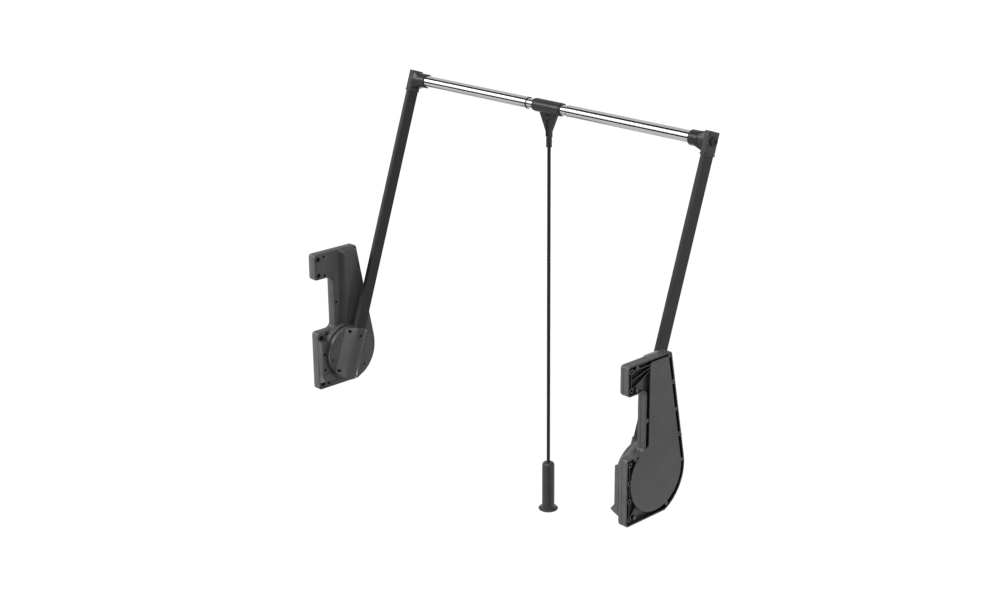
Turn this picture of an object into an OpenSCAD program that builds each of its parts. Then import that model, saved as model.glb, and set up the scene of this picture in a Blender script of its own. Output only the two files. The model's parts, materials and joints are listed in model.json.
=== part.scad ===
// Pull down closet rod: two wall housings, two swing arms, a telescoping rail and a pull rod.
// Frame: the left wall face is at X = 0, X runs along the rail, -Y is the room side and Z is up.
// Y = 0 and Z = 0 lie on the swing axis. The right side is the left side mirrored.

/* [Overall] */
// Distance between the two wall faces, with the rail pushed together
span_w = 830; // [800:10:900]
// Swing axis to rail axis
arm_len = 550; // [450:10:650]
// How far the raised arms lean back from upright, degrees
rest_lean = 18.3; // [14:0.1:20]
// How far the arms swing down, degrees
swing = 125; // [110:1:128]
// How far the rail can be pulled out on each side
rail_travel = 160; // [80:10:180]

/* [Housing] */
// Swing axis to the front edge
house_front = 66; // [64:1:70]
// Swing axis to the top edge
house_top = 208; // [200:1:220]
// Swing axis to the bottom edge
house_bottom = 70; // [68:1:73]
// Radius of the round back below
bulb_r = 76; // [75:0.5:79]
// Depth of the top edge, front to back
top_depth = 103; // [98:1:106]
// Depth of the hinge notch in the front edge
notch_depth = 42.5; // [38:0.5:44]
// Height of the block below the notch, above the swing axis
block_top = 49; // [45:1:52]
// Height of the ear's underside above the swing axis
ear_bottom = 156; // [148:1:160]
// Thickness of the housing at its rim
rim_t = 18.5; // [17:0.5:20]
// Thickness of the housing at the raised bay
bay_t = 28; // [27.5:0.1:29]
// Thickness of the back shell
shell_t = 9.5; // [9.2:0.1:10]
// Wall of the mouldings
wall = 2.5; // [2:0.1:2.6]
// Radius of the outline's outer corners
corner_r = 6; // [4:0.5:7]
// Radius of the rounded inner edge of the rim
edge_r = 3.6; // [2.4:0.1:4]

/* [Wall screws] */
// Grid step of the wall screws
grid = 32; // [32:1:32]
// Front edge to the screw column
column_inset = 8.5; // [8:0.1:9.5]
// Top edge to the first screw
first_screw = 10; // [9:0.5:12]
// Hole of a wall screw
wall_hole_d = 5; // [4:0.1:5.4]
// Recess for the head of a wall screw
wall_head_d = 9; // [8:0.1:9.6]

/* [Hub] */
// Radius of the turning disc
disc_r = 53; // [50:0.5:53.5]
// Height of the disc's face over the wall
disc_x = 38; // [37:0.1:38.4]
// Height of the arm's centre plane over the wall
arm_x = 46; // [45.8:0.1:46.4]
// Half width of the ridge over the disc
ridge_half_w = 29; // [26:0.5:31]
// Half width of the ridge's flat crest
crest_half_w = 10.5; // [9:0.5:12]
// Diameter of the pivot axle
axle_d = 12; // [10:0.5:13]
// Radius of the hub's neck
neck_r = 20; // [19.6:0.1:20.5]

/* [Drive] */
// Gear module
gear_m = 2; // [2:1:2]
// Teeth of the hub's pinion
pinion_teeth = 16; // [16:1:16]
// Teeth of the damper gear
damper_teeth = 12; // [12:1:12]
// Outer diameter of a spring
spring_d = 14; // [12:0.5:14.5]
// Wire of a spring
spring_wire = 2; // [1.4:0.1:2.2]
// Turns of a spring
spring_turns = 13; // [9:1:16]

/* [Arms] */
// Width of the arm tube
arm_w = 24; // [22:0.5:25]
// Thickness of the arm tube
arm_t = 9.5; // [9:0.1:10.5]
// Wall of the arm tube
arm_wall = 1.6; // [1.2:0.1:2]

/* [Rail] */
// Outer diameter of the rail tubes
rail_d = 22; // [21.5:0.1:23]
// Wall of the rail tubes
rail_wall = 1; // [0.8:0.05:1.1]
// Outer diameter of the inner rail
inner_d = 19; // [18:0.1:19.1]
// Wall of the inner rail
inner_wall = 1.2; // [1:0.1:1.5]
// Length of tube that stays overlapped when the rail is pulled out
rail_overlap = 60; // [50:5:80]
// Bare inner rail between the bracket and each rail tube
bare_rail = 20; // [12:1:30]

/* [Pull bracket] */
// Length of the bracket's sleeve
sleeve_len = 64; // [56:1:80]
// Outer diameter of the sleeve
sleeve_d = 24; // [22:0.5:26]
// Width of the web under the sleeve
web_w = 46; // [36:1:52]
// Rail axis to the web's lower edge
web_drop = 54.5; // [46:0.5:60]
// Thickness of the web
web_t = 7; // [6:0.5:8]

/* [Pull rod] */
// Diameter of the pull rod
rod_d = 6.5; // [5:0.1:7]
// Rail axis to the top of the grip
rod_drop = 690; // [400:10:900]
// Length of the grip
grip_len = 98; // [80:1:120]
// Diameter of the grip
grip_d = 24; // [21:0.5:27]
// Diameter of the grip's flange
flange_d = 38; // [32:0.5:43]

/* [Clearances] */
// Radial gap of a running fit
run_gap = 0.05; // [0.03:0.01:0.09]
// Radial gap of a seated fit
seat_gap = 0.02; // [0.01:0.01:0.05]
// Gap between faces that move past each other
face_gap = 0.3; // [0.25:0.05:0.5]

/* [Hidden] */
$fn = 64;

PLASTIC = [0.16, 0.16, 0.17];
ARM = [0.22, 0.22, 0.23];
STEEL = [0.6, 0.6, 0.62];
CHROME = [0.85, 0.85, 0.87];
SPRING = [0.45, 0.45, 0.48];

// Overrun of every cut
over = 1;
// Smallest radius that a rounded corner may shrink to
least_r = 0.4;

// Angle of the slanted back edge's outward normal, and the corner where it meets the top
top_back_y = top_depth - house_front;
back_angle = atan2(house_top, top_back_y) - acos(bulb_r / norm([top_back_y, house_top]));
notch_y = notch_depth - house_front;
ear_fillet = 8;
block_fillet = 12;
back_corner_r = 5;

// Pan: the flush teardrop that holds the drive
pan_front = 14;
pan_r = bulb_r - 14;
pan_shift = 6;
pan_top_margin = 6;
pan_top = house_top - pan_top_margin;
pan_back_r = 8;
pan_front_r = 4;
web_x = shell_t - 2;

// Raised bay of the front cover: at its foot and at its face
bay_front = 10;
bay_slope = 9;
bay_foot_r = 60;
bay_face_r = 56.5;
bay_foot_margin = 6;
bay_back_margin = 9;
bay_foot_top = 0.3;
bay_face_top = 5;
bay_foot_angle = 58;
bay_corner_r = 6;
bay_front_r = 3;

// Raised pad for the two middle wall screws
pad_high = 31.5;
pad_low = 38;
pad_bevel = 3;
pad_front = 1;
pad_back = 30;
pad_rise = 8;

// Raised foot below the pad: its back edge, crest height and steps of its lower side
foot_back = 38;
foot_x = 34.5;
foot_crest = 45.5;
FOOT_STEPS = [[rim_t, 54.5], [rim_t + 4.5, 53], [bay_t, 51], [foot_x, 47.5]];

// Wall screw column, and the heights of its screws
column_y = column_inset - house_front;
first_z = house_top - first_screw;
WALL_SCREW_STEPS = [0, 1, 5, 6, 7, 8];
WALL_SCREW_Z = [for (k = WALL_SCREW_STEPS) first_z - k * grid];
boss_wall = 1.8;
wall_boss_r = wall_hole_d / 2 + boss_wall;
wall_head_depth = 5;

// Cover screws: places, boss and screw
screw_r = 1.25;
screw_hole_r = 2.4;
screw_boss_r = 3.7;
screw_head_r = 2.2;
screw_head_t = 1.6;
screw_depth = 6.5;
ear_screw_y = 22.5 - house_front;
screw_margin = 7;
gap_mid = 5.4;
function on_back(z) = (bulb_r - gap_mid - z * sin(back_angle)) / cos(back_angle);
mid_screw_z = 103;
low_back_z = 8;
low_screw_y = 34.5;
low_margin = 10.5;
COVER_SCREWS = [
    [ear_screw_y, house_top - screw_margin],
    [ear_screw_y, ear_bottom + screw_margin],
    [ear_screw_y, block_top - gap_mid],
    [ear_screw_y, low_margin - house_bottom],
    [(notch_y + wall - pan_front) / 2, mid_screw_z],
    [on_back(house_top - screw_margin), house_top - screw_margin],
    [on_back(mid_screw_z), mid_screw_z],
    [sqrt(pow(bulb_r - gap_mid, 2) - pow(low_back_z, 2)), low_back_z],
    [low_screw_y, low_margin - house_bottom]
];

// Hollow bosses in the back gap, the lower one crossed by the transport pin
peg_z = [154, 57];
peg_r = 4.1;
peg_hole_r = 1.7;
peg_depth = 5;
pin_r = 0.75;
pin_x = 1.6;
pin_len = 36;
pin_out = 10;
pin_drop = 26;

// Ribs of the back shell
rib_t = 1.4;
rib_x = 0.9;

// Hub stack, heights over the wall
axle_r = axle_d / 2;
axle_boss_x = 8.2;
axle_boss_r = 10;
axle_end = 29.5;
bush_r = axle_r + 2;
core_back = axle_boss_x + face_gap;
gear_x0 = 9;
gear_x1 = 18;
core_front = 34.5;
cover_back = bay_t + 2 * face_gap;
flange_back = cover_back + face_gap;
cavity_front = core_front + face_gap;
core_r = disc_r - 3.5;
clip_x = 27;
clip_t = 1;
clip_r = 9;
clip_groove_r = axle_r - 1;
clip_pocket_x = clip_x - face_gap - 0.1 * axle_d / 12;
clip_pocket_r = clip_r + 1;
opening_r = neck_r + 0.5;

// Ridge over the disc that the arm sits in
ridge_wall = 3;
ridge_top = arm_x + arm_t / 2 + ridge_wall;
arm_foot = -38;
edge_round = 1.6;
boss_s = 36;
boss_r = 6.5;
boss_top = 1;
arm_screw_r = 2;
arm_head_r = 3.6;
arm_head_t = 2.4;
hub_screw_ring = 46;
HUB_SCREW_ANGLES = [26.5, 116, 149, -165, -120, -26.5];
hub_screw_r = 1.5;
hub_head_r = 2.7;
hub_head_t = 1.6;
hub_seat = disc_x - 2.2;

// Drive
pinion_r = gear_m * pinion_teeth / 2;
damper_r = gear_m * damper_teeth / 2;
addendum = 0.9 * gear_m;
dedendum = 1.15 * gear_m;
backlash = 0.15 * gear_m;
pressure = 20;
rack_stroke = pinion_r * swing * PI / 180;
rack_high = 12;
rack_low = 10 + rack_stroke;
rack_back = 11;
rack_x0 = gear_x0 + face_gap;
rack_x1 = gear_x1 - 0.7;
yoke_z = 22;
yoke_t = 6;
yoke_x1 = 21.5;
spring_y = [4.5, 20];
spring_x = rack_x0 + spring_d / 2 + face_gap;
yoke_margin = 1.2;
peg_len = 8;
guide_r = spring_d / 2 - spring_wire - 1.2;
seat_x0 = wall + face_gap;
seat_x1 = 20;
seat_t = 9.2;
seat_back = spring_y[1] + spring_d / 2 - yoke_margin;
seat_room = (pan_r - wall - (seat_back + face_gap - pan_shift) * cos(back_angle)) / sin(back_angle);
seat_top = min(pan_top - wall - face_gap, seat_room);
seat_z = seat_top - seat_t;
rail_rib_z = 21;
bed_y = [19.5, 24];
bed_t = 2;
bed_low = 40;
bed_high = 58;
damper_angle = 200;
damper_body_r = 12;
damper_body_x = gear_x0 - face_gap;
damper_pin_r = 2.5;
damper_gear_x1 = gear_x1 - 0.5;
damper_y = (pinion_r + damper_r) * cos(damper_angle);
damper_z = (pinion_r + damper_r) * sin(damper_angle);

// Corner connector, from the rail axis
conn_wall = 2;
conn_side = 1.3;
conn_t = arm_t + 2 * conn_wall;
conn_w = arm_w + 2 * conn_side;
conn_high = 16;
conn_low = 24;
conn_chamfer = 2.5;
lip = 0.5;
lip_h = 3;
arm_top = 6.5;
socket_len = 38;
socket_r = rail_d / 2 + 2.4;
flare_len = 24;
flare_w = 21;
flare_high = 14;
flare_low = 18;
flare_top_r = 12.4;
socket_back = 1.2;
bolt_head_r = 8.5;
bolt_head_t = 2.2;
bolt_r = 4;
bolt_key_r = 4.6;
bolt_key_depth = 1.6;
plug_from = 3;
plug_len = 12;
bolt_len = 13;
rail_gap = 0.2;
ring_t = 1.2;
guide_len = 12;

// Middle of the rail
centre_x = span_w / 2;
rail_y = arm_len * sin(rest_lean);
rail_z = arm_len * cos(rest_lean);
rail_start = arm_x + conn_t / 2 + socket_back;
rail_end = centre_x - sleeve_len / 2 - bare_rail;
inner_half = sleeve_len / 2 + bare_rail + rail_travel + rail_overlap;
collar_ring_t = 2.4;
collar_ring_r = sleeve_d / 2 - 0.5;

// Bracket slot and rod
slot_w = rod_d + 2 * face_gap;
leg_w = 2.3;
leg_len = 10;
slot_top = 14.5;
eye_z = 20;
eye_r = 4.4;
eye_w = rod_d;
pin_d = 3;
pin_half = 8.5;
collar_z = web_drop + 0.5;
collar_len = 18;
collar_d = 10.8;
web_top = 8;
grip_top_r = 6;
flange_t = 3;
grip_wall = 3;
rod_in = 40;
nut_d = 11;
nut_t = 6;
plug_t = 5;

// Turns flat shapes so that they lie in the Y-Z plane and grow along X
module from_wall(x0, x1) {
    translate([x0, 0, 0]) rotate([90, 0, 90]) linear_extrude(x1 - x0) children();
}

// Round bar along X at one place of the Y-Z plane
module bar(y, z, r, x0, x1) {
    translate([x0, y, z]) rotate([0, 90, 0]) cylinder(r = r, h = x1 - x0);
}

function arc(cy, cz, r, a0, a1, steps) =
    [for (i = [0:steps]) let (a = a0 + (a1 - a0) * i / steps) [cy + r * cos(a), cz + r * sin(a)]];

// Rounded corner between the slanted back edge and a level top edge
function back_corner(cy, reach, top, r, steps) =
    let (z = top - r, y = cy + (reach - r - z * sin(back_angle)) / cos(back_angle))
    arc(y, z, r, back_angle, 90, steps);

// Outline of the housing, moved in by k
function outline(k) =
    let (r = max(corner_r - k, least_r), f = k - house_front + r, b = bulb_r - k,
         rb = max(back_corner_r - k, least_r))
    concat(
        arc(f, k - house_bottom + r, r, 180, 270, 4),
        arc(0, 0, b, -asin((house_bottom - k) / b), back_angle, 16),
        back_corner(0, b, house_top - k, rb, 4),
        arc(f, house_top - k - r, r, 90, 180, 4),
        arc(f, ear_bottom + k + r, r, 180, 270, 4),
        arc(notch_y - ear_fillet, ear_bottom - ear_fillet, ear_fillet + k, 90, 0, 5),
        arc(notch_y - block_fillet, block_top + block_fillet, block_fillet + k, 0, -90, 6),
        arc(f, block_top - k - r, r, 90, 180, 4)
    );

// The flat ends of the housing in three pieces: block, ear and body
OUTLINE_CAPS = [
    concat([5], [for (i = [43:54]) i], [for (i = [0:4]) i]),
    [for (i = [26:42]) i],
    concat([for (i = [5:26]) i], [42, 43])
];

// Outline of the pan, moved in by k
function pan(k) =
    let (y = k - pan_front, b = pan_r - k, reach = acos((y - pan_shift) / b),
         rf = max(pan_front_r - k, least_r), rb = max(pan_back_r - k, least_r))
    concat(
        arc(pan_shift, 0, b, reach, 360 + back_angle, 24),
        back_corner(pan_shift, b, pan_top - k, rb, 5),
        arc(y + rf, pan_top - k - rf, rf, 90, 180, 3)
    );

// Outline of the raised bay: front line, round front, back margin and top edge
function bay(front, round_r, margin, top) =
    let (b = bulb_r - margin, r = bay_front_r)
    concat(
        arc(0, 0, round_r, acos(-front / round_r), 270, 14),
        arc(0, 0, b, -bay_foot_angle, back_angle, 8),
        back_corner(0, b, house_top - top, bay_corner_r, 4),
        arc(r - front, house_top - top - r, r, 90, 180, 3)
    );

// Solid through flat outlines with the same number of points, each at its own height.
// A hollow-sided outline names the convex pieces of its flat ends in caps.
module loft(sections, caps = undef) {
    n = len(sections[0][1]);
    ends = is_undef(caps) ? [[for (j = [0:n - 1]) j]] : caps;
    rings = len(sections);
    points = [for (s = sections) for (p = s[1]) [s[0], p[0], p[1]]];
    sides = [for (i = [0:rings - 2]) for (j = [0:n - 1])
        let (a = i * n + j, b = i * n + (j + 1) % n)
        for (t = [[a, a + n, b + n], [a, b + n, b]]) t];
    high = [for (e = ends) [for (j = [0:len(e) - 1]) (rings - 1) * n + e[(len(e) - j) % len(e)]]];
    polyhedron(points = points, faces = concat(ends, sides, high), convexity = 6);
}

// Half outline of the arm tube, moved in by k: width along the first axis
edge_share = 0.27;
flat_share = 0.93;
function arm_section(k) =
    let (w = arm_w / 2 - k, t = arm_t / 2 - k, e = t * edge_share * 2, f = w * flat_share)
    [[-w, -e], [-f, -t], [f, -t], [w, -e], [w, e], [f, t], [-f, t], [-w, e]];

// Places the children in the arm's frame: Z along the arm, X across its thickness
module in_arm(s) {
    translate([arm_x, 0, 0]) rotate([-rest_lean, 0, 0]) translate([0, 0, s]) children();
}

// Tooth flank: half angle of an involute tooth at radius rho
function inv_angle(r, base) = let (a = acos(base / r)) tan(a) * 180 / PI - a;
function flank(rho, pitch_r) =
    let (base = pitch_r * cos(pressure), half = (PI * gear_m / 2 - backlash) / 4 / pitch_r * 360 / PI)
    half + inv_angle(pitch_r, base) - inv_angle(max(rho, base), base);
TOOTH_SHARES = [0, 0.3, 0.5, 0.75, 1];
function gear_outline(teeth, turn) =
    let (pr = gear_m * teeth / 2, root = pr - dedendum, tip = pr + addendum)
    [for (i = [0:teeth - 1]) let (a = turn + i * 360 / teeth)
        each concat(
            [for (q = TOOTH_SHARES) let (r = root + q * (tip - root), h = flank(r, pr))
                [r * cos(a - h), r * sin(a - h)]],
            [for (k = [len(TOOTH_SHARES) - 1:-1:0])
                let (r = root + TOOTH_SHARES[k] * (tip - root), h = flank(r, pr))
                [r * cos(a + h), r * sin(a + h)]])];

// Rack teeth: gaps centred on multiples of the pitch, teeth pointing to -Y
rack_pitch = PI * gear_m;
function rack_tooth(z) =
    let (t = (rack_pitch / 2 - backlash) / 2, a = addendum * tan(pressure), d = dedendum * tan(pressure))
    [[pinion_r + dedendum, z - t - d], [pinion_r - addendum, z - t + a],
     [pinion_r - addendum, z + t - a], [pinion_r + dedendum, z + t + d]];

// Coil: one unbroken tube round the Z axis
coil_sides = 6;
coil_steps = 8;
module coil(y, x, r, wire_r, z0, z1, turns) {
    rings = turns * coil_steps;
    points = [for (i = [0:rings]) let (a = i * 360 / coil_steps, h = z0 + (z1 - z0) * i / rings)
        for (k = [0:coil_sides - 1]) let (b = k * 360 / coil_sides, q = r + wire_r * cos(b))
        [x + q * cos(a), y + q * sin(a), h + wire_r * sin(b)]];
    sides = [for (i = [0:rings - 1]) for (k = [0:coil_sides - 1])
        let (a = i * coil_sides + k, b = i * coil_sides + (k + 1) % coil_sides)
        for (t = [[a, a + coil_sides, b + coil_sides], [a, b + coil_sides, b]]) t];
    low = [[for (k = [0:coil_sides - 1]) k]];
    high = [[for (k = [coil_sides - 1:-1:0]) rings * coil_sides + k]];
    polyhedron(points = points, faces = concat(low, sides, high), convexity = 10);
}

// Thin wall between two places of the Y-Z plane
module rib(from, to, x0, x1) {
    d = to - from;
    translate([x0, from[0], from[1]]) rotate([atan2(d[1], d[0]), 0, 0])
        translate([0, 0, -rib_t / 2]) cube([x1 - x0, norm(d), rib_t]);
}

module shell_bosses() {
    for (z = WALL_SCREW_Z) bar(column_y, z, wall_boss_r, 0, web_x + over);
    for (p = COVER_SCREWS) bar(p[0], p[1], screw_boss_r, rib_x, web_x + over);
    for (z = peg_z) bar(on_back(z), z, peg_r, 0, web_x + over);
}

module shell_ribs() {
    for (z = WALL_SCREW_Z) rib([-house_front + wall, z], [column_y, z], rib_x, web_x + over);
    ear_mid = (WALL_SCREW_Z[0] + WALL_SCREW_Z[1]) / 2;
    fan_y = -pan_front + wall;
    fan_z = [WALL_SCREW_Z[0], WALL_SCREW_Z[0] - wall_head_d / 2, WALL_SCREW_Z[0] - wall_head_d];
    rib([column_y, WALL_SCREW_Z[0]], [fan_y, fan_z[0]], rib_x, web_x + over);
    rib([column_y, ear_mid], [fan_y, fan_z[1]], rib_x, web_x + over);
    rib([column_y, WALL_SCREW_Z[1]], [fan_y, fan_z[2]], rib_x, web_x + over);
    rib([column_y, WALL_SCREW_Z[1]], [column_y, WALL_SCREW_Z[0]], rib_x, web_x + over);
    rib([column_y, WALL_SCREW_Z[5]], [column_y, WALL_SCREW_Z[2]], rib_x, web_x + over);
    rib([column_y, WALL_SCREW_Z[5]], [-pan_r / 2, -pan_r / 2], rib_x, web_x + over);
}

// Walls inside the pan that carry the axle and guide the rack
module shell_inside() {
    bar(0, 0, axle_boss_r, 0, axle_boss_x);
    guide_y = pinion_r + rack_back + face_gap;
    translate([0, guide_y, -bed_low]) cube([rack_x1 - face_gap, wall, bed_low + rail_rib_z]);
    for (y = bed_y) translate([0, y, -bed_low]) cube([gear_x0, bed_t, bed_low + bed_high]);
}

module back_shell() {
    color(PLASTIC) difference() {
        union() {
            difference() {
                from_wall(0, shell_t) polygon(outline(0));
                difference() {
                    from_wall(-over, web_x) polygon(outline(wall));
                    from_wall(-2 * over, shell_t) polygon(pan(0));
                    shell_bosses();
                    shell_ribs();
                }
                from_wall(wall, shell_t + over) polygon(pan(wall));
            }
            shell_inside();
        }
        bar(0, 0, axle_r + seat_gap, wall, axle_boss_x + over);
        for (z = WALL_SCREW_Z) bar(column_y, z, wall_hole_d / 2, -over, shell_t + over);
        for (p = COVER_SCREWS)
            bar(p[0], p[1], screw_r + seat_gap, wall, shell_t + over);
        for (z = peg_z) bar(on_back(z), z, peg_hole_r, -over, peg_depth);
        transport_way();
    }
}

// Straight way of the transport pin across the lower peg and the rim
module pin_line(r) {
    y = on_back(peg_z[1]);
    translate([pin_x, y, peg_z[1]]) rotate([-90 - pin_drop, 0, 0])
        translate([0, 0, pin_out - pin_len]) cylinder(r = r, h = pin_len);
}

module transport_way() {
    pin_line(pin_r + run_gap);
}

module transport_pin() {
    color(STEEL) pin_line(pin_r);
}

// Rounded steps of the rim: height and inset
function rim_sections() =
    let (seam = 0.4 * wall / 2.5)
    concat([[shell_t, outline(seam)], [shell_t + seam, outline(0)]],
        [for (a = [0, 45, 90])
            [rim_t - edge_r + edge_r * sin(a), outline(edge_r * (1 - cos(a)))]]);

function bay_step(q, extra) =
    bay(bay_front - q * bay_slope - extra, bay_foot_r + q * (bay_face_r - bay_foot_r) - extra,
        bay_foot_margin + q * (bay_back_margin - bay_foot_margin) + extra,
        bay_foot_top + q * (bay_face_top - bay_foot_top) + extra);

module bay_solid() {
    loft([[rim_t - edge_r, bay_step(0, 0)], [rim_t, bay_step(0.1, 0)],
          [bay_t - 1.2 * edge_r / 3.6, bay_step(0.86, 0)], [bay_t, bay_step(1, 0)]]);
}

module bay_hollow() {
    loft([[shell_t - over, bay_step(0.1, wall)], [rim_t, bay_step(0.1, wall)],
          [bay_t - wall, bay_step(0.8, wall)]]);
}

module pad_solid() {
    y0 = pad_front - house_front;
    foot = [[y0, -pad_low], [-pad_back, pad_rise - pad_low],
            [-pad_back, pad_high + pad_bevel], [y0, pad_high + pad_bevel]];
    face = [[y0 + pad_bevel / 2, -pad_low], [-pad_back, pad_rise - pad_low],
            [-pad_back, pad_high], [y0 + pad_bevel / 2, pad_high]];
    loft([[rim_t - edge_r, foot], [rim_t, foot], [bay_t, face]]);
}

// One level of the foot: its lower side, and its upper side at the front and at the back
function foot_step(low, front, back) =
    let (y0 = pad_front - house_front)
    [[y0, -low], [-foot_back, -low], [-foot_back, -back], [y0, -front]];

module lower_foot() {
    under = [rim_t - edge_r, foot_step(FOOT_STEPS[0][1], pad_low, pad_low - pad_rise)];
    steps = [for (p = FOOT_STEPS) let (crest = p[0] > bay_t)
        [p[0], foot_step(p[1], crest ? foot_crest : pad_low, crest ? foot_crest : pad_low - pad_rise)]];
    difference() {
        loft(concat([under], steps));
        bar(0, 0, disc_r + 2 * face_gap, bay_t - face_gap, foot_x + over);
    }
}

module cover_cavity() {
    difference() {
        from_wall(shell_t - over, rim_t - wall) polygon(outline(wall));
        for (z = WALL_SCREW_Z) bar(column_y, z, wall_head_d / 2 + boss_wall, shell_t, rim_t);
        for (p = COVER_SCREWS) bar(p[0], p[1], screw_boss_r, shell_t, rim_t);
    }
}

module front_cover() {
    color(PLASTIC) difference() {
        union() {
            loft(rim_sections(), OUTLINE_CAPS);
            bay_solid();
            pad_solid();
            lower_foot();
        }
        cover_cavity();
        bay_hollow();
        bar(0, 0, opening_r, shell_t, bay_t + over);
        for (z = WALL_SCREW_Z) {
            bar(column_y, z, wall_hole_d / 2, shell_t - over, foot_x + over);
            if (z > pad_high || z < -pad_low)
                bar(column_y, z, wall_head_d / 2, rim_t - wall_head_depth, foot_x + over);
        }
        for (p = COVER_SCREWS) {
            bar(p[0], p[1], screw_r + seat_gap, shell_t - over, rim_t);
            bar(p[0], p[1], screw_hole_r, screw_depth + shell_t - wall, foot_x + over);
        }
    }
}

module cover_screws() {
    seat = screw_depth + shell_t - wall;
    color(STEEL) for (p = COVER_SCREWS) difference() {
        union() {
            bar(p[0], p[1], screw_r, wall + face_gap, seat + screw_head_t / 2);
            bar(p[0], p[1], screw_head_r, seat, seat + screw_head_t);
        }
        bar(p[0], p[1], screw_r / 2, seat + screw_head_t / 2, seat + screw_head_t + over);
    }
}

module pivot_axle() {
    color(STEEL) difference() {
        bar(0, 0, axle_r, wall, axle_end);
        difference() {
            bar(0, 0, axle_r + over, clip_x, clip_x + clip_t);
            bar(0, 0, clip_groove_r, clip_x - over, clip_x + clip_t + over);
        }
    }
}

module axle_clip() {
    slot = clip_groove_r * 1.2;
    color(STEEL) difference() {
        bar(0, 0, clip_r, clip_x + seat_gap, clip_x + clip_t - seat_gap);
        bar(0, 0, clip_groove_r + seat_gap, clip_x - over, clip_x + clip_t + over);
        translate([clip_x - over, 0, -slot / 2]) cube([clip_t + 2 * over, clip_r + over, slot]);
    }
}

module hub_bush() {
    color("white") difference() {
        bar(0, 0, bush_r - seat_gap, core_back, clip_pocket_x);
        bar(0, 0, axle_r + run_gap, core_back - over, clip_pocket_x + over);
    }
}

module hub_core() {
    color(PLASTIC) difference() {
        union() {
            from_wall(gear_x0, gear_x1) polygon(gear_outline(pinion_teeth, 0));
            bar(0, 0, pinion_r - dedendum, core_back, gear_x1);
            bar(0, 0, neck_r, gear_x1, core_front);
            bar(0, 0, core_r, flange_back, core_front);
        }
        bar(0, 0, bush_r, core_back - over, core_front + over);
        bar(0, 0, clip_pocket_r, clip_pocket_x, core_front + over);
        at_hub_screws() bar(0, 0, hub_screw_r + seat_gap, flange_back - over, core_front + over);
    }
}

module at_hub_screws() {
    for (a = HUB_SCREW_ANGLES) rotate([a - rest_lean, 0, 0]) translate([0, 0, hub_screw_ring]) children();
}

// Disc with a rounded edge, and the ridge that holds the arm's foot
module hub_cover() {
    profile = [[0, cover_back], [disc_r, cover_back], [disc_r, disc_x - edge_round],
               [disc_r - edge_round * 0.3, disc_x - edge_round * 0.3],
               [disc_r - edge_round, disc_x], [0, disc_x]];
    color(PLASTIC) difference() {
        union() {
            rotate([0, 90, 0]) rotate_extrude() polygon(profile);
            intersection() {
                in_arm(-disc_r) translate([-arm_x, 0, 0]) linear_extrude(2 * disc_r) polygon([
                    [disc_x - edge_round, -ridge_half_w - edge_round],
                    [disc_x, -ridge_half_w], [ridge_top - edge_round, -crest_half_w - edge_round],
                    [ridge_top, -crest_half_w], [ridge_top, crest_half_w],
                    [ridge_top - edge_round, crest_half_w + edge_round],
                    [disc_x, ridge_half_w], [disc_x - edge_round, ridge_half_w + edge_round]]);
                bar(0, 0, disc_r - edge_round / 2, disc_x - 2 * edge_round, ridge_top + over);
            }
            in_arm(boss_s) bar(0, 0, boss_r, -arm_t / 2, ridge_top - arm_x + boss_top);
        }
        bar(0, 0, core_r + face_gap, cover_back - over, cavity_front);
        in_arm(arm_foot - face_gap) rotate([0, 0, 90]) mirror([0, 1, 0])
            linear_extrude(2 * disc_r) polygon(arm_section(-seat_gap));
        at_hub_screws() {
            bar(0, 0, hub_screw_r + seat_gap, cover_back, disc_x);
            bar(0, 0, hub_head_r + run_gap, hub_seat, ridge_top + over);
        }
        in_arm(boss_s) {
            bar(0, 0, arm_screw_r + seat_gap, cavity_front - arm_x - over, ridge_top);
            bar(0, 0, arm_head_r + run_gap, arm_t / 2 + seat_gap, ridge_top - arm_x + over + boss_top);
        }
    }
}

module hub_screws() {
    color(STEEL) at_hub_screws() difference() {
        union() {
            bar(0, 0, hub_screw_r, flange_back + face_gap, hub_seat);
            bar(0, 0, hub_head_r, hub_seat, hub_seat + hub_head_t);
        }
        bar(0, 0, hub_screw_r / 2, hub_seat + hub_head_t / 2, hub_seat + hub_head_t + over);
    }
}

module gear_rack() {
    y1 = pinion_r + rack_back;
    y0 = pinion_r + dedendum;
    from = ceil((-rack_low + rack_pitch / 2) / rack_pitch);
    to = floor((rack_high - rack_pitch / 2) / rack_pitch);
    yoke_y0 = spring_y[0] - spring_d / 2 - yoke_margin;
    yoke_y1 = spring_y[1] + spring_d / 2 + yoke_margin;
    color("white") union() {
        translate([rack_x0, y0, -rack_low])
            cube([rack_x1 - rack_x0, y1 - y0, rack_low + yoke_z + yoke_t / 2]);
        for (i = [from:to]) from_wall(rack_x0, rack_x1) polygon(rack_tooth((i + 0.5) * rack_pitch));
        translate([rack_x0, yoke_y0, yoke_z]) cube([yoke_x1 - rack_x0, yoke_y1 - yoke_y0, yoke_t]);
        for (y = spring_y) translate([spring_x, y, yoke_z + yoke_t / 2])
            cylinder(r = guide_r, h = peg_len + yoke_t / 2);
    }
}

module spring(i) {
    wire_r = spring_wire / 2;
    color(SPRING) coil(spring_y[i], spring_x, spring_d / 2 - wire_r, wire_r,
        yoke_z + yoke_t + wire_r + face_gap, seat_z - wire_r - face_gap, spring_turns);
}

module spring_seat() {
    y0 = spring_y[0] - spring_d / 2 - yoke_margin;
    y1 = spring_y[1] + spring_d / 2 - yoke_margin;
    low = yoke_z + yoke_t + peg_len + rack_stroke + wall;
    color(STEEL) union() {
        translate([seat_x0, y0, seat_z]) cube([seat_x1 - seat_x0, y1 - y0, seat_top - seat_z]);
        for (y = spring_y) translate([spring_x, y, low]) cylinder(r = guide_r, h = seat_z + over - low);
    }
}

module damper_body() {
    color(ARM) union() {
        bar(damper_y, damper_z, damper_body_r, wall, damper_body_x);
        bar(damper_y, damper_z, damper_pin_r, wall, damper_gear_x1 + face_gap);
    }
}

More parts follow.
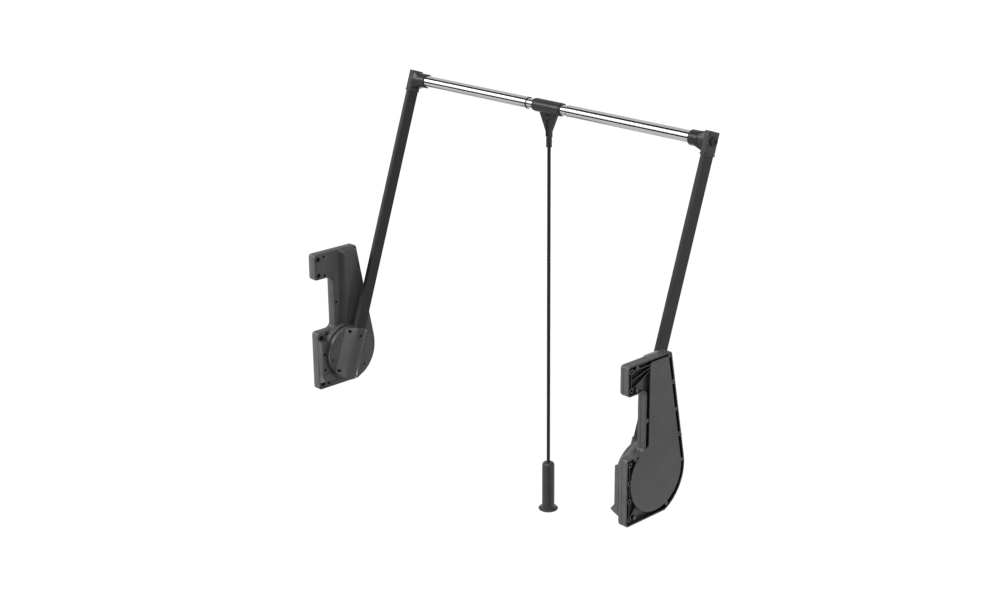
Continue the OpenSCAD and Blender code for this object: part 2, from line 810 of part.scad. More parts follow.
module damper_gear() {
    turn = damper_angle + 180 + damper_angle * pinion_teeth / damper_teeth + 180 / damper_teeth;
    color("white") difference() {
        translate([0, damper_y, damper_z])
            from_wall(gear_x0, damper_gear_x1) polygon(gear_outline(damper_teeth, turn));
        bar(damper_y, damper_z, damper_pin_r + run_gap, gear_x0 - over, damper_gear_x1 + over);
    }
}

// Arm tube, drilled for its screw
module arm_tube() {
    length = arm_len - arm_top - arm_foot;
    color(ARM) difference() {
        in_arm(arm_foot) rotate([0, 0, 90]) mirror([0, 1, 0])
            linear_extrude(length) polygon(arm_section(0));
        in_arm(arm_foot - over) rotate([0, 0, 90]) mirror([0, 1, 0])
            linear_extrude(length + 2 * over) polygon(arm_section(arm_wall));
        in_arm(boss_s) bar(0, 0, arm_screw_r + seat_gap, -arm_t, arm_t);
    }
}

module arm_screw() {
    color(STEEL) in_arm(boss_s) difference() {
        union() {
            bar(0, 0, arm_screw_r, cavity_front - arm_x + face_gap, arm_t / 2 + arm_head_t / 2);
            bar(0, 0, arm_head_r, arm_t / 2 + seat_gap, arm_t / 2 + arm_head_t);
        }
        bar(0, 0, arm_screw_r / 2, arm_t / 2 + arm_head_t / 2, arm_t / 2 + arm_head_t + over);
    }
}

function chamfered(hx, hy, c) =
    [[-hx + c, -hy], [hx - c, -hy], [hx, -hy + c], [hx, hy - c],
     [hx - c, hy], [-hx + c, hy], [-hx, hy - c], [-hx, -hy + c]];

// Block on the arm's top with a flared socket for the rail
module corner_connector() {
    color(PLASTIC) in_arm(arm_len) difference() {
        union() {
            translate([0, 0, -conn_low]) linear_extrude(conn_low + conn_high)
                polygon(chamfered(conn_t / 2, conn_w / 2, conn_chamfer));
            translate([0, 0, -conn_low]) linear_extrude(lip_h)
                polygon(chamfered(conn_t / 2 + lip, conn_w / 2 + lip, conn_chamfer));
            hull() {
                translate([0, -flare_w / 2, -flare_low])
                    cube([conn_t / 2, flare_w, flare_low + flare_high]);
                translate([0, 0, 0]) rotate([0, 90, 0])
                    cylinder(r = flare_top_r, h = conn_t / 2 + flare_len, $fn = 32);
            }
            bar(0, 0, socket_r, conn_t / 2 + flare_len / 2, socket_len);
        }
        bar(0, 0, rail_d / 2 + seat_gap, conn_t / 2 + socket_back, socket_len + over);
        bar(0, 0, bolt_r + run_gap, -conn_t, conn_t);
        translate([0, 0, -conn_low - over]) rotate([0, 0, 90]) mirror([0, 1, 0])
            linear_extrude(conn_low + over - arm_top + seat_gap) polygon(arm_section(-seat_gap));
    }
}

module rail_bolt() {
    face = -conn_t / 2;
    color(STEEL) in_arm(arm_len) difference() {
        union() {
            bar(0, 0, bolt_head_r, face - bolt_head_t, face);
            bar(0, 0, bolt_head_r * 0.8, face - bolt_head_t * 1.3, face);
            bar(0, 0, bolt_r, face, conn_t / 2 + bolt_len);
        }
        translate([face - bolt_head_t * 1.3 - over, 0, 0]) rotate([0, 90, 0])
            cylinder(r = bolt_key_r, h = bolt_key_depth + over, $fn = 6);
    }
}

module rail_plug() {
    from = conn_t / 2 + plug_from;
    color(STEEL) in_arm(arm_len) difference() {
        bar(0, 0, rail_d / 2 - rail_wall - seat_gap, from, from + plug_len);
        bar(0, 0, bolt_r + seat_gap, from - over, from + plug_len + over);
    }
}

module on_rail() {
    translate([0, rail_y, rail_z]) children();
}

module rail_tube() {
    color(CHROME) on_rail() difference() {
        bar(0, 0, rail_d / 2, rail_start + rail_gap, rail_end);
        bar(0, 0, rail_d / 2 - rail_wall, rail_start - over, rail_end + over);
    }
}

module rail_end_ring() {
    color("black") on_rail() difference() {
        union() {
            bar(0, 0, rail_d / 2, rail_end, rail_end + ring_t);
            bar(0, 0, rail_d / 2 - rail_wall - seat_gap, rail_end - guide_len, rail_end + ring_t / 2);
        }
        bar(0, 0, inner_d / 2 + run_gap, rail_end - guide_len - over, rail_end + ring_t + over);
    }
}

module at_centre() {
    translate([centre_x, rail_y, rail_z]) children();
}

module inner_rail() {
    color(CHROME) at_centre() difference() {
        bar(0, 0, inner_d / 2, -inner_half, inner_half);
        bar(0, 0, inner_d / 2 - inner_wall, -inner_half - over, inner_half + over);
    }
}

module bracket_rings() {
    from = sleeve_len / 2 + face_gap;
    color("black") at_centre() for (side = [0, 1]) mirror([side, 0, 0]) difference() {
        bar(0, 0, collar_ring_r, from, from + collar_ring_t);
        bar(0, 0, inner_d / 2 + seat_gap, from - over, from + collar_ring_t + over);
    }
}

module pull_bracket() {
    foot = slot_w / 2 + leg_w;
    color(PLASTIC) at_centre() difference() {
        union() {
            bar(0, 0, sleeve_d / 2, -sleeve_len / 2, sleeve_len / 2);
            translate([0, web_t / 2, 0]) rotate([90, 0, 0]) linear_extrude(web_t)
                polygon([[-foot, -web_drop], [foot, -web_drop], [foot, leg_len - web_drop],
                         [web_w / 2, -web_top], [-web_w / 2, -web_top], [-foot, leg_len - web_drop]]);
        }
        bar(0, 0, inner_d / 2 + run_gap, -sleeve_len, sleeve_len);
        translate([-slot_w / 2, -web_t, -web_drop - over])
            cube([slot_w, 2 * web_t, web_drop + over - slot_top]);
        bar(0, -eye_z, pin_d / 2 + seat_gap, -pin_half, pin_half);
    }
}

module bracket_pin() {
    color(STEEL) at_centre() bar(0, -eye_z, pin_d / 2, -pin_half + face_gap, pin_half - face_gap);
}

module pull_rod() {
    color(ARM) at_centre() difference() {
        union() {
            bar(0, -eye_z, eye_r, -eye_w / 2, eye_w / 2);
            translate([0, 0, -rod_drop - rod_in])
                cylinder(d = rod_d, h = rod_drop + rod_in - eye_z);
        }
        bar(0, -eye_z, pin_d / 2 + run_gap, -eye_w, eye_w);
    }
}

module rod_collar() {
    color(PLASTIC) at_centre() difference() {
        translate([0, 0, -collar_z - collar_len]) cylinder(d = collar_d, h = collar_len);
        translate([0, 0, -collar_z - collar_len - over])
            cylinder(r = rod_d / 2 + seat_gap, h = collar_len + 2 * over);
    }
}

// Turned grip: rounded top, straight body and a thin flange
module grip() {
    r = grip_d / 2;
    steps = [for (a = [90:-15:0]) [r - grip_top_r + grip_top_r * cos(a), grip_top_r * sin(a) - grip_top_r]];
    profile = concat([[0, 0]], steps, [
        [r, -grip_len + 3 * flange_t], [r + flange_t / 3, -grip_len + 1.6 * flange_t],
        [flange_d / 2 - flange_t / 3, -grip_len + flange_t], [flange_d / 2, -grip_len + 2 * flange_t / 3],
        [flange_d / 2, -grip_len + flange_t / 3], [flange_d / 2 - flange_t / 3, -grip_len],
        [0, -grip_len]]);
    color(PLASTIC) at_centre() translate([0, 0, -rod_drop]) difference() {
        rotate_extrude() polygon(profile);
        translate([0, 0, -grip_len - over]) cylinder(r = r - grip_wall, h = grip_len + over - rod_in + nut_t);
        translate([0, 0, -grip_len]) cylinder(r = rod_d / 2 + seat_gap, h = grip_len + over);
    }
}

module rod_nut() {
    color(STEEL) at_centre() translate([0, 0, -rod_drop - rod_in]) difference() {
        cylinder(d = nut_d, h = nut_t, $fn = 6);
        translate([0, 0, -over]) cylinder(r = rod_d / 2 + seat_gap, h = nut_t + 2 * over);
    }
}

module grip_plug() {
    color(PLASTIC) at_centre() translate([0, 0, -rod_drop - grip_len])
        cylinder(r = grip_d / 2 - grip_wall - seat_gap, h = plug_t);
}

module on_left() {
    children();
}

module on_right() {
    translate([span_w, 0, 0]) mirror([1, 0, 0]) children();
}

on_left() back_shell();  // left_back_shell
on_left() front_cover();  // left_front_cover
on_left() cover_screws();  // left_cover_screws
on_left() pivot_axle();  // left_pivot_axle
on_left() axle_clip();  // left_axle_clip
on_left() hub_bush();  // left_hub_bush
on_left() hub_core();  // left_hub_core
on_left() hub_cover();  // left_hub_cover
on_left() hub_screws();  // left_hub_screws
on_left() gear_rack();  // left_gear_rack
on_left() spring(0);  // left_front_spring
on_left() spring(1);  // left_back_spring
on_left() spring_seat();  // left_spring_seat
on_left() damper_body();  // left_damper_body
on_left() damper_gear();  // left_damper_gear
on_left() arm_tube();  // left_arm_tube
on_left() arm_screw();  // left_arm_screw
on_left() corner_connector();  // left_corner_connector
on_left() rail_bolt();  // left_rail_bolt
on_left() rail_plug();  // left_rail_plug
on_left() rail_tube();  // left_rail_tube
on_left() rail_end_ring();  // left_rail_end_ring
on_right() back_shell();  // right_back_shell
on_right() front_cover();  // right_front_cover
on_right() cover_screws();  // right_cover_screws
on_right() pivot_axle();  // right_pivot_axle
on_right() axle_clip();  // right_axle_clip
on_right() hub_bush();  // right_hub_bush
on_right() hub_core();  // right_hub_core
on_right() hub_cover();  // right_hub_cover
on_right() hub_screws();  // right_hub_screws
on_right() gear_rack();  // right_gear_rack
on_right() spring(0);  // right_front_spring
on_right() spring(1);  // right_back_spring
on_right() spring_seat();  // right_spring_seat
on_right() damper_body();  // right_damper_body
on_right() damper_gear();  // right_damper_gear
on_right() arm_tube();  // right_arm_tube
on_right() arm_screw();  // right_arm_screw
on_right() corner_connector();  // right_corner_connector
on_right() rail_bolt();  // right_rail_bolt
on_right() rail_plug();  // right_rail_plug
on_right() rail_tube();  // right_rail_tube
on_right() rail_end_ring();  // right_rail_end_ring
on_right() transport_pin();  // right_transport_pin
inner_rail();
bracket_rings();
pull_bracket();
bracket_pin();
pull_rod();
rod_collar();
grip();
rod_nut();
grip_plug();
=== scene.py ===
"""Pull down closet rod: its surfaces, the light and the camera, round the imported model."""
import json
import math

import bpy
from mathutils import Matrix, Vector


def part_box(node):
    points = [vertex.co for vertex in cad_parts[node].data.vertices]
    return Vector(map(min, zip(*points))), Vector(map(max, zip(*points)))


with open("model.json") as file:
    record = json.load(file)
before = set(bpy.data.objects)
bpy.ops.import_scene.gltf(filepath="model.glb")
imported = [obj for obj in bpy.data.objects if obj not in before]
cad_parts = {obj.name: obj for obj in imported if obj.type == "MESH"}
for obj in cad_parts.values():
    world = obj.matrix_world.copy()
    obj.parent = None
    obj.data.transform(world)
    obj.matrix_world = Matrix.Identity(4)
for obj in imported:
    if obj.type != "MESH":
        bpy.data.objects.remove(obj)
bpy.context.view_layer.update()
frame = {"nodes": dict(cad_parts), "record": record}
nodes = frame["nodes"]

# Camera, fitted to the photograph: place in metres, angles in degrees, lens and sensor in
# millimetres, and shift as a share of the sensor's width
CAMERA_PLACE = Vector((2.37577, -1.78675, 1.11851))
CAMERA_AZIMUTH = 46.866
CAMERA_ELEVATION = 17.283
CAMERA_ROLL = -0.421
CAMERA_LENS = 57.076
CAMERA_SENSOR = 36
CAMERA_SHIFT = -0.05

# Stage, in metres: the floor lies under the rod's grip in every pose. To the camera and to
# mirrors it glows, a little brighter further away.
STAGE_X = 0.4
FLOOR_Z = -1.3
FLOOR_HALF = 45
FLOOR_COLOUR = 0.35
FLOOR_GLOW = (0.72, 0.93)
FLOOR_GLOW_SPAN = (1.5, 7.0)

# Light on matt surfaces from all round, and the white that the camera and the chrome see
SKY_LEVELS = (0.3, 1.0)

# Round lamps: name, place and width in metres, watts, whether mirrors see it and whether its
# light falls on matt surfaces
LAMPS = (
    ("key", (-1.9, -3.2, 1.2), 1.4, 335, False, True),
    ("top", (0.6, -0.2, 3.2), 1.6, 45, True, True),
    ("edge", (3.0, -2.2, 0.6), 0.6, 14, True, False),
    ("fill", (3.8, -0.4, 0.6), 2.0, 42, False, True),
)
LAMP_AIM = Vector((STAGE_X, 0, 0.1))

# Studio cards round the rail that only mirrors see: name, direction in degrees from the room
# side upwards, width in degrees, distance in metres and brightness. The dark ones draw the lines
# along the chrome, the grey ones its bands, and the bright one lights the edges of the black
# pieces.
CARDS = (
    ("front_bar", -6, 28, 2.4, 0.01),
    ("top_bar", 76, 35, 2.4, 0.01),
    ("back_sheet", 135, 78, 2.5, 0.48),
    ("low_sheet", -66, 84, 1.3, 0.5),
    ("bright_bar", 36, 10, 2.3, 8.0),
)
CARD_MIDDLE_X = -2.0
CARD_HALF_LENGTH = 4.0

# A dark flag beside the camera, in metres, which the slopes of the arms and ridges mirror
FLAG_PLACE = (3.2, -1.15, 0.3)
FLAG_HALF_WIDTH = 0.75
FLAG_HALF_HEIGHT = 1.2
FLAG_LEVEL = 0.02

# Below, a pattern is its scale and its detail, a relief its height in metres and its strength,
# and any other pair the low and the high end of a range.
NOISE_SPAN = (0.3, 0.7)
EDGE_SAMPLES = 4

# Moulded plastic: grey levels of the housings and of the smoother small pieces, and the radius
# in metres over which their edges catch the light
BLACK = 0.045
SATIN_LEVELS = {
    "corner_connector": 0.012,
    "pull_bracket": 0.013,
    "rod_collar": 0.012,
    "grip": 0.026,
    "bracket_rings": 0.008,
    "rail_end_ring": 0.008,
}
MOULD_TINT = (1.0, 1.0, 1.03)
MOULD_SHEEN = 0.34
MOULD_ROUGH = (0.26, 0.34)
MOULD_EDGE = 0.0015
SATIN_SHEEN = 0.4
SATIN_ROUGH = (0.27, 0.34)
SATIN_EDGE = 0.001
MOULD_SHINE = (210.0, 5.0)
MOULD_FLOW = (38.0, 4.0)
MOULD_FLOW_SHARES = (0.88, 1.12)
MOULD_FLOW_RELIEF = (0.0004, 0.15)
MOULD_GRAIN = (1500.0, 2.0)
MOULD_GRAIN_RELIEF = (0.00004, 0.15)

# Edges, by their sharpness, lightened as wear and as a painted highlight, and pockets up to a
# depth in metres darkened with painted shade
POINTED = (0.505, 0.56)
MOULD_EDGE_WEAR_AND_HIGHLIGHT = 1.5
ENAMEL_EDGE_WEAR_AND_HIGHLIGHT = 1.4
POCKET_SHADE_DEPTH = 0.012
POCKET_SHADE_LEVELS = (0.25, 1.0)
POCKET_SHADE_OPENNESS = (0.35, 0.9)

# Enamel on steel
ENAMEL = 0.014
SCREW_ENAMEL = 0.02
ENAMEL_TINT = (1.0, 1.0, 1.02)
ENAMEL_SHEEN = 0.2
ENAMEL_ROUGH = (0.34, 0.46)
ENAMEL_CLOUD = (24.0, 4.0)
ENAMEL_CLOUD_SHARES = (0.9, 1.1)
ENAMEL_PEEL = (520.0, 1.5)
ENAMEL_PEEL_RELIEF = (0.00008, 0.5)
ENAMEL_DUST = (2600.0, 1.0)
ENAMEL_DUST_RELIEF = (0.00002, 0.4)

# Chrome
CHROME_LEVELS = (0.9, 0.96)
CHROME_TINT = (1.0, 1.0, 1.005)
CHROME_ROUGH = (0.05, 0.075)
CHROME_HAZE = (32.0, 5.0)
CHROME_SPECKS = (60.0, 4.0)
CHROME_STRETCH = (6.0, 900.0, 900.0)
CHROME_LINES = (1.0, 3.0)
CHROME_LINES_RELIEF = (0.000002, 0.1)

# Plated and spring steel
ZINC = 0.5
SPRING_GREY = 0.32
STEEL_TINT = (1.0, 1.0, 1.02)
STEEL_ROUGH = (0.28, 0.42)
STEEL_STAINS = (300.0, 5.0)
STEEL_STAIN_SHARES = (0.8, 1.15)
STEEL_SHINE = (900.0, 3.0)
STEEL_GRAIN = (2200.0, 2.0)
STEEL_GRAIN_RELIEF = (0.00003, 0.4)

# Nylon
NYLON_LEVELS = (0.62, 0.74)
NYLON_TINT = (1.0, 0.985, 0.93)
NYLON_ROUGH = (0.38, 0.5)
NYLON_CLOUD = (60.0, 4.0)
NYLON_SHINE = (400.0, 3.0)
NYLON_GRAIN = (1300.0, 2.0)
NYLON_GRAIN_RELIEF = (0.00004, 0.4)

# Rounding of the moulded and turned edges, in metres, and of all other edges. An edge that would
# leave the model's own box is halved, a few times at most.
EDGE_WIDTHS = {
    "back_shell": 0.0003,
    "front_cover": 0.0004,
    "hub_cover": 0.0004,
    "corner_connector": 0.0006,
    "pull_bracket": 0.0006,
    "arm_tube": 0.0005,
    "grip": 0.0003,
    "rod_collar": 0.0004,
    "rail_bolt": 0.0003,
    "rail_end_ring": 0.0002,
    "bracket_rings": 0.0003,
    "gear_rack": 0.0003,
    "spring_seat": 0.0004,
}
LEAST_EDGE = 0.00012
EDGE_SEGMENTS = 2
EDGE_TRIES = 4
SMOOTH_ANGLE = math.radians(28)
FLAT_ANGLE = math.radians(0.4)
WELD = 1e-6


def remap(tree, value, span, ends):
    """The part of the value inside the span, spread between the ends."""
    made = tree.nodes.new("ShaderNodeMapRange")
    names = ("From Min", "From Max", "To Min", "To Max")
    for name, number in zip(names, (*span, *ends)):
        made.inputs[name].default_value = number
    tree.links.new(value, made.inputs["Value"])
    return made.outputs["Result"]


def combine(tree, operation, a, b):
    """Two values put together by an arithmetic operation."""
    made = tree.nodes.new("ShaderNodeMath")
    made.operation = operation
    tree.links.new(a, made.inputs[0])
    tree.links.new(b, made.inputs[1])
    return made.outputs[0]


class Shader:
    """A node material in the making."""

    def __init__(self, name):
        self.material = bpy.data.materials.new(name)
        self.material.use_nodes = True
        self.tree = self.material.node_tree
        self.tree.nodes.clear()
        self.body = self.node("ShaderNodeBsdfPrincipled")
        self.link(self.body.outputs[0], self.node("ShaderNodeOutputMaterial").inputs["Surface"])
        self.place = self.node("ShaderNodeTexCoord").outputs["Object"]

    def node(self, kind, **values):
        """A new node, with the values set."""
        made = self.tree.nodes.new(kind)
        for name, value in values.items():
            setattr(made, name, value)
        return made

    def link(self, source, target):
        self.tree.links.new(source, target)

    def feed(self, **sources):
        """Links values to the surface's own sockets."""
        for name, source in sources.items():
            self.link(source, self.body.inputs[name.replace("_", " ")])

    def set(self, **values):
        """Sets constants on the surface's own sockets."""
        for name, value in values.items():
            self.body.inputs[name.replace("_", " ")].default_value = value

    def stretched(self, scale):
        """Coordinates that stretch a pattern along one axis."""
        made = self.node("ShaderNodeMapping")
        made.inputs["Scale"].default_value = scale
        self.link(self.place, made.inputs["Vector"])
        return made.outputs[0]

    def noise(self, pattern, vector=None):
        """A cloudy pattern in the piece's own coordinates, unless others are given."""
        made = self.node("ShaderNodeTexNoise")
        made.inputs["Scale"].default_value, made.inputs["Detail"].default_value = pattern
        self.link(vector or self.place, made.inputs["Vector"])
        return made.outputs["Fac"]

    def spread(self, value, ends, span=NOISE_SPAN):
        """A pattern's middle range, unless another span is given, spread between the ends."""
        return remap(self.tree, value, span, ends)

    def times(self, a, b):
        return combine(self.tree, "MULTIPLY", a, b)

    def grey(self, value, tint):
        """A colour from one brightness and a slight tint."""
        made = self.node("ShaderNodeVectorMath", operation="SCALE")
        made.inputs[0].default_value = tint
        self.link(value, made.inputs["Scale"])
        return made.outputs[0]

    def bump(self, height, relief, under=None):
        """The surface's direction with a relief, on top of the one under it."""
        made = self.node("ShaderNodeBump")
        made.inputs["Distance"].default_value, made.inputs["Strength"].default_value = relief
        self.link(height, made.inputs["Height"])
        if under:
            self.link(under, made.inputs["Normal"])
        return made.outputs[0]

    def soft_edges(self, radius):
        """The surface's direction, rounded over a radius at its edges."""
        made = self.node("ShaderNodeBevel", samples=EDGE_SAMPLES)
        made.inputs["Radius"].default_value = radius
        return made.outputs[0]

    def painted_shade_in_recesses(self):
        """Painted shade: 1 on the open faces and low at the bottom of pockets and seams."""
        made = self.node("ShaderNodeAmbientOcclusion", samples=EDGE_SAMPLES, only_local=True)
        made.inputs["Distance"].default_value = POCKET_SHADE_DEPTH
        return self.spread(made.outputs["AO"], POCKET_SHADE_LEVELS, POCKET_SHADE_OPENNESS)

    def edge_wear_and_painted_highlight(self, lift):
        """1 on the faces and lift on the outer edges: wear from handling, and a painted
        highlight.
        """
        point = self.node("ShaderNodeNewGeometry").outputs["Pointiness"]
        return self.spread(point, (1.0, lift), POINTED)


def scaled(level, shares):
    """The range of a level that varies by shares of itself."""
    return [level * share for share in shares]


def moulded(name, level, rough=MOULD_ROUGH, sheen=MOULD_SHEEN, edge=MOULD_EDGE):
    """Moulded black plastic: flow marks, a fine spark grain, edges lightened as wear and as a
    painted highlight, and painted shade in pockets.
    """
    s = Shader(name)
    flow = s.noise(MOULD_FLOW)
    value = s.spread(flow, scaled(level, MOULD_FLOW_SHARES))
    # Edges lightened, as wear from handling and as a painted highlight
    value = s.times(value, s.edge_wear_and_painted_highlight(MOULD_EDGE_WEAR_AND_HIGHLIGHT))
    # Painted shade, darker at the bottom of pockets and seams
    value = s.times(value, s.painted_shade_in_recesses())
    waves = s.bump(flow, MOULD_FLOW_RELIEF, s.soft_edges(edge))
    s.feed(
        Base_Color=s.grey(value, MOULD_TINT),
        Roughness=s.spread(s.noise(MOULD_SHINE), rough),
        Normal=s.bump(s.noise(MOULD_GRAIN), MOULD_GRAIN_RELIEF, waves),
    )
    s.set(Specular_IOR_Level=sheen)
    return s.material


def enamel(name, level):
    """Black enamel baked on steel: an orange peel skin over fine dust."""
    s = Shader(name)
    peel = s.noise(ENAMEL_PEEL)
    value = s.spread(s.noise(ENAMEL_CLOUD), scaled(level, ENAMEL_CLOUD_SHARES))
    # Edges lightened, as wear from handling and as a painted highlight
    value = s.times(value, s.edge_wear_and_painted_highlight(ENAMEL_EDGE_WEAR_AND_HIGHLIGHT))
    skin = s.bump(peel, ENAMEL_PEEL_RELIEF)
    s.feed(
        Base_Color=s.grey(value, ENAMEL_TINT),
        Roughness=s.spread(peel, ENAMEL_ROUGH),
        Normal=s.bump(s.noise(ENAMEL_DUST), ENAMEL_DUST_RELIEF, skin),
    )
    s.set(Specular_IOR_Level=ENAMEL_SHEEN)
    return s.material


def chrome(name):
    """Chrome plated tube, with faint draw lines along it and specks of handling."""
    s = Shader(name)
    lines = s.noise(CHROME_LINES, s.stretched(CHROME_STRETCH))
    s.feed(
        Base_Color=s.grey(s.spread(s.noise(CHROME_HAZE), CHROME_LEVELS), CHROME_TINT),
        Roughness=s.spread(s.noise(CHROME_SPECKS), CHROME_ROUGH),
        Normal=s.bump(lines, CHROME_LINES_RELIEF),
    )
    s.set(Metallic=1.0)
    return s.material


def steel(name, level):
    """Plated steel: fine grain, with soft stains."""
    s = Shader(name)
    value = s.spread(s.noise(STEEL_STAINS), scaled(level, STEEL_STAIN_SHARES))
    s.feed(
        Base_Color=s.grey(value, STEEL_TINT),
        Roughness=s.spread(s.noise(STEEL_SHINE), STEEL_ROUGH),
        Normal=s.bump(s.noise(STEEL_GRAIN), STEEL_GRAIN_RELIEF),
    )
    s.set(Metallic=1.0)
    return s.material


def nylon(name):
    """Natural nylon of the gears and bushes."""
    s = Shader(name)
    s.feed(
        Base_Color=s.grey(s.spread(s.noise(NYLON_CLOUD), NYLON_LEVELS), NYLON_TINT),
        Roughness=s.spread(s.noise(NYLON_SHINE), NYLON_ROUGH),
        Normal=s.bump(s.noise(NYLON_GRAIN), NYLON_GRAIN_RELIEF),
    )
    return s.material


def kind_of(name):
    """The node's name without its side."""
    return name.removeprefix("left_").removeprefix("right_")


def dress(nodes, record):
    """Gives every node its own finish, or else the finish of its material slot."""
    finishes = {
        "black_plastic": moulded("black_plastic", BLACK),
        "dark_enamel": enamel("dark_enamel", ENAMEL),
        "chrome": chrome("chrome"),
        "black_steel": enamel("black_steel", SCREW_ENAMEL),
        "zinc_steel": steel("zinc_steel", ZINC),
        "spring_steel": steel("spring_steel", SPRING_GREY),
        "nylon": nylon("nylon"),
        "transport_pin": enamel("transport_pin", ENAMEL),
    }
    for kind, level in SATIN_LEVELS.items():
        finishes[kind] = moulded(kind, level, SATIN_ROUGH, SATIN_SHEEN, SATIN_EDGE)
    for part in record["subparts"]:
        name = part["node"]
        mesh = nodes[name].data
        mesh.materials.clear()
        mesh.materials.append(finishes.get(kind_of(name)) or finishes[part["material_slot"]])


def box_of(node):
    """The node's box as drawn, with its modifiers: its low ends and minus its high ends."""
    bpy.context.view_layer.update()
    drawn = node.evaluated_get(bpy.context.evaluated_depsgraph_get())
    axes = list(zip(*(node.matrix_world @ v.co for v in drawn.data.vertices)))
    return [min(axis) for axis in axes] + [-max(axis) for axis in axes]


def round_edges(name, node):
    """Joins the node's flat facets, rounds its edges and shades it smooth, inside its own box."""
    cad = box_of(node)
    weld = node.modifiers.new("weld", "WELD")
    weld.merge_threshold = WELD
    flatten = node.modifiers.new("flatten", "DECIMATE")
    flatten.decimate_type = "DISSOLVE"
    flatten.angle_limit = FLAT_ANGLE
    bevel = node.modifiers.new("edges", "BEVEL")
    bevel.width = EDGE_WIDTHS.get(kind_of(name), LEAST_EDGE)
    bevel.segments = EDGE_SEGMENTS
    bevel.limit_method = "ANGLE"
    bevel.angle_limit = SMOOTH_ANGLE
    bevel.use_clamp_overlap = False
    bevel.harden_normals = True
    for attribute in ("sharp_edge", "sharp_face", "custom_normal"):
        found = node.data.attributes.get(attribute)
        if found:
            node.data.attributes.remove(found)
    node.data.shade_smooth()
    for _ in range(EDGE_TRIES):
        if all(now > was - WELD for now, was in zip(box_of(node), cad)):
            break
        print("narrower edges:", name, bevel.width)
        bevel.width /= 2


def plane(name, half_x, half_y, place, turn=(0, 0, 0)):
    """A flat sheet of the stage."""
    mesh = bpy.data.meshes.new(name)
    corners = [(x * half_x, y * half_y, 0) for x, y in ((-1, -1), (1, -1), (1, 1), (-1, 1))]
    mesh.from_pydata(corners, [], [(0, 1, 2, 3)])
    made = bpy.data.objects.new(name, mesh)
    made.location = place
    made.rotation_euler = turn
    bpy.context.scene.collection.objects.link(made)
    return made


def seen_rays(tree):
    """1 for what the camera, mirrors and glass see, and 0 for the light on matt surfaces."""
    ray = tree.nodes.new("ShaderNodeLightPath")
    seen = combine(tree, "MAXIMUM", ray.outputs["Is Camera Ray"], ray.outputs["Is Glossy Ray"])
    return combine(tree, "MAXIMUM", seen, ray.outputs["Is Transmission Ray"])


def glow_tree(name):
    """A bare material with an output and an emission, not linked yet."""
    material = bpy.data.materials.new(name)
    material.use_nodes = True
    tree = material.node_tree
    tree.nodes.clear()
    out = tree.nodes.new("ShaderNodeOutputMaterial")
    glow = tree.nodes.new("ShaderNodeEmission")
    return material, tree, out, glow


def add_floor():
    """A pale floor that keeps the object's shadow and is near white to the camera."""
    material, tree, out, glow = glow_tree("floor")
    matt = tree.nodes.new("ShaderNodeBsdfDiffuse")
    matt.inputs["Color"].default_value = (FLOOR_COLOUR, FLOOR_COLOUR, FLOOR_COLOUR, 1)
    place = tree.nodes.new("ShaderNodeTexCoord")
    away = tree.nodes.new("ShaderNodeVectorMath")
    away.operation = "LENGTH"
    tree.links.new(place.outputs["Object"], away.inputs[0])
    level = remap(tree, away.outputs["Value"], FLOOR_GLOW_SPAN, FLOOR_GLOW)
    strength = combine(tree, "MULTIPLY", level, seen_rays(tree))
    tree.links.new(strength, glow.inputs["Strength"])
    both = tree.nodes.new("ShaderNodeAddShader")
    tree.links.new(matt.outputs[0], both.inputs[0])
    tree.links.new(glow.outputs[0], both.inputs[1])
    tree.links.new(both.outputs[0], out.inputs["Surface"])
    floor = plane("floor", FLOOR_HALF, FLOOR_HALF, (STAGE_X, 0, FLOOR_Z))
    floor.data.materials.append(material)


def add_sky():
    """White to the camera and to chrome, and a soft even grey to matt surfaces."""
    world = bpy.data.worlds.new("studio")
    bpy.context.scene.world = world
    world.use_nodes = True
    tree = world.node_tree
    back = tree.nodes["Background"]
    back.inputs["Color"].default_value = (1, 1, 1, 1)
    level = remap(tree, seen_rays(tree), (0, 1), SKY_LEVELS)
    tree.links.new(level, back.inputs["Strength"])


def add_lamp(name, place, width, watts, in_mirrors, on_matt):
    """A round lamp that points at the middle of the object."""
    light = bpy.data.lights.new(name, "AREA")
    light.shape = "DISK"
    light.size = width
    light.energy = watts
    lamp = bpy.data.objects.new(name, light)
    lamp.location = place
    lamp.rotation_mode = "QUATERNION"
    lamp.rotation_quaternion = (LAMP_AIM - Vector(place)).to_track_quat("-Z", "Y")
    lamp.visible_glossy = in_mirrors
    lamp.visible_diffuse = on_matt
    bpy.context.scene.collection.objects.link(lamp)


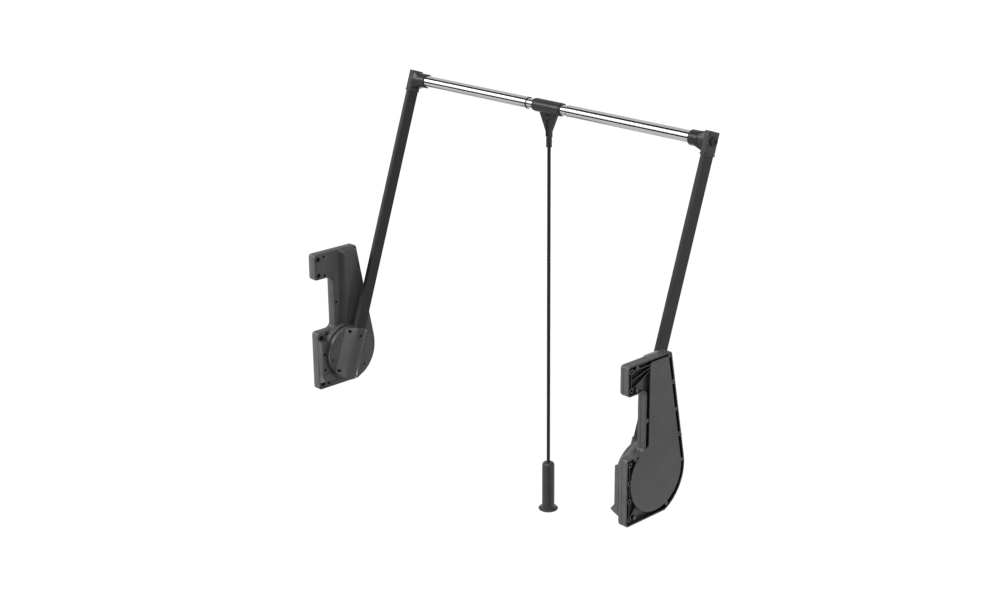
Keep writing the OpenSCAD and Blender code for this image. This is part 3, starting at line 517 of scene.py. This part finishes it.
def mirrored_sheet(name, half_x, half_y, place, turn, brightness):
    """A glowing sheet that only mirrors see."""
    material, tree, out, glow = glow_tree(name)
    glow.inputs["Strength"].default_value = brightness
    tree.links.new(glow.outputs[0], out.inputs["Surface"])
    sheet = plane(name, half_x, half_y, place, turn)
    sheet.data.materials.append(material)
    sheet.visible_camera = False
    sheet.visible_diffuse = False
    sheet.visible_shadow = False
    sheet.visible_transmission = False


def add_cards():
    """The long cards round the rail, and the flag beside the camera."""
    low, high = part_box("inner_rail")
    rail = (low + high) / 2
    for name, angle, spread, distance, brightness in CARDS:
        a = math.radians(angle)
        place = rail + distance * Vector((0, -math.cos(a), math.sin(a)))
        place.x = CARD_MIDDLE_X
        half_width = distance * math.tan(math.radians(spread / 2))
        turn = (math.pi / 2 - a, 0, 0)
        mirrored_sheet(name, CARD_HALF_LENGTH, half_width, place, turn, brightness)
    upright = (0, math.pi / 2, 0)
    mirrored_sheet("flag", FLAG_HALF_HEIGHT, FLAG_HALF_WIDTH, FLAG_PLACE, upright, FLAG_LEVEL)


def add_camera():
    """The camera at the photograph's place, turned by its azimuth, elevation and roll."""
    a, e, r = (math.radians(v) for v in (CAMERA_AZIMUTH, CAMERA_ELEVATION, CAMERA_ROLL))
    back = Vector((math.sin(a) * math.cos(e), -math.cos(a) * math.cos(e), math.sin(e)))
    level = Vector((math.cos(a), math.sin(a), 0))
    rise = back.cross(level)
    right = math.cos(r) * level + math.sin(r) * rise
    up = math.cos(r) * rise - math.sin(r) * level
    data = bpy.data.cameras.new("camera")
    data.lens = CAMERA_LENS
    data.sensor_width = CAMERA_SENSOR
    data.shift_y = CAMERA_SHIFT
    camera = bpy.data.objects.new("camera", data)
    turned = Matrix((right, up, back)).transposed().to_4x4()
    camera.matrix_world = Matrix.Translation(CAMERA_PLACE) @ turned
    bpy.context.scene.collection.objects.link(camera)
    bpy.context.scene.camera = camera


bpy.context.scene.view_settings.view_transform = "Standard"
add_camera()
add_sky()
add_floor()
add_cards()
for lamp in LAMPS:
    add_lamp(*lamp)
dress(nodes, frame["record"])
for name, node in nodes.items():
    round_edges(name, node)
